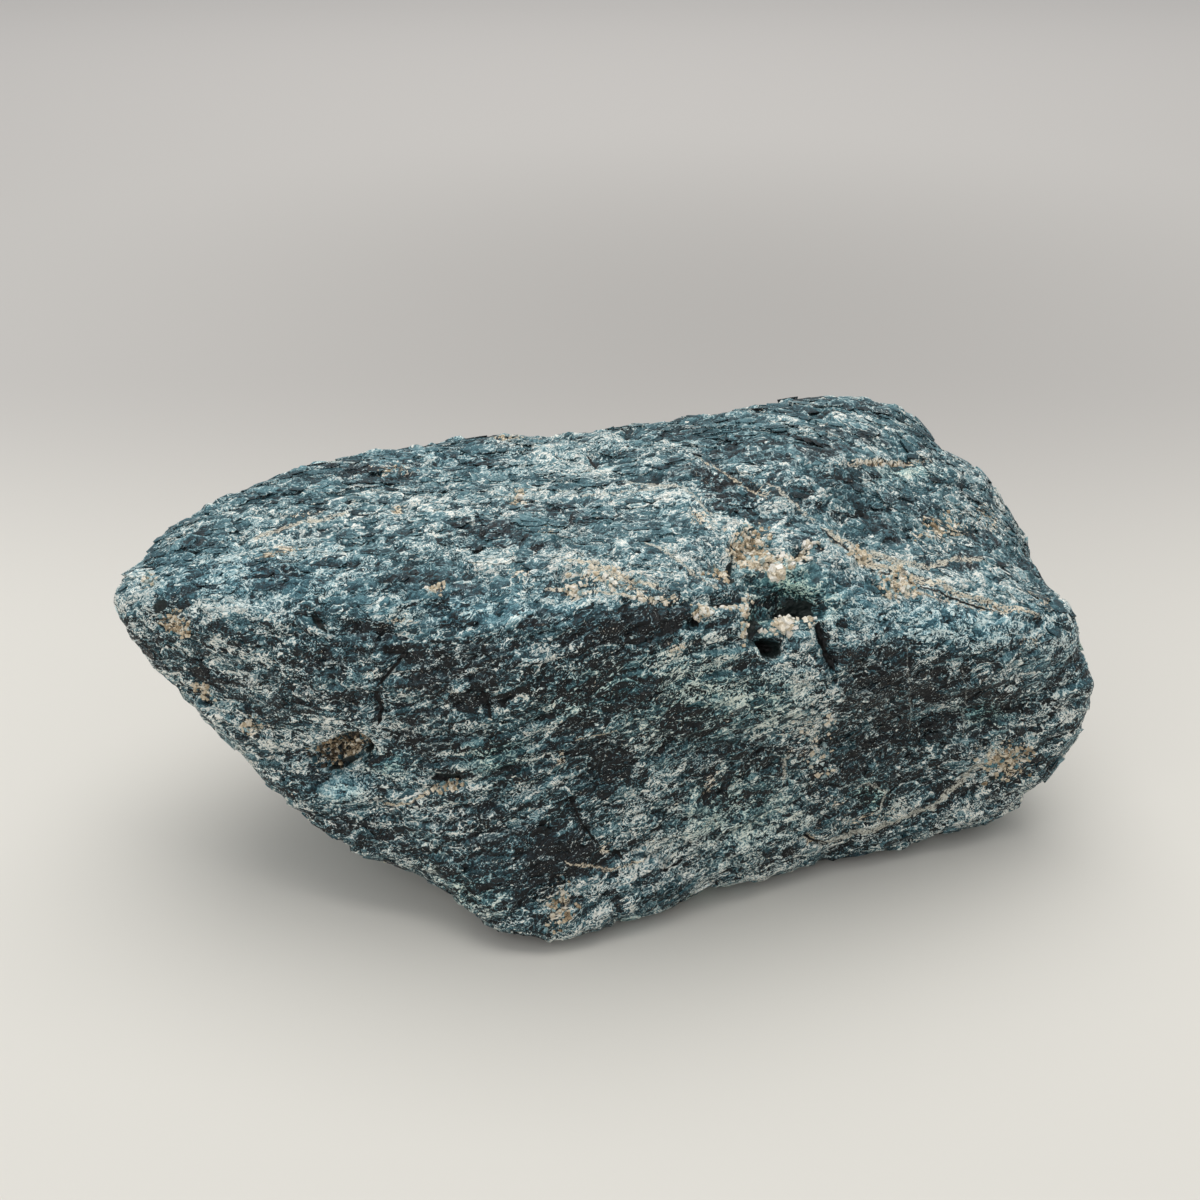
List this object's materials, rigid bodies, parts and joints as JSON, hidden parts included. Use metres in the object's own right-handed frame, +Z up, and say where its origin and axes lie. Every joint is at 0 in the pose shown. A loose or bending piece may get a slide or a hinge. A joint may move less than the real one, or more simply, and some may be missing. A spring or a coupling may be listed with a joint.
{
  "type": "rough apatite stone",
  "caption": "Rough lump of blue apatite with split, hackly faces, pale veins and a crystal hollow, lying on its small flat underside.",
  "frame": {"origin": "middle of the box round the stone, on the floor that it rests on", "axes": "+X along the stone's longest side, from its pointed end to its blunt end; +Y from its front face to its back; +Z up"},
  "size_m": [0.24, 0.1208, 0.1001],
  "materials": {
    "blue_apatite": "rough, split stone: slate to teal blue flakes with pale blue-grey and cream veins, tan stains and a faint glassy lustre"
  },
  "bodies": {
    "root": {"apatite_stone": "blue_apatite"}
  },
  "joints": []
}
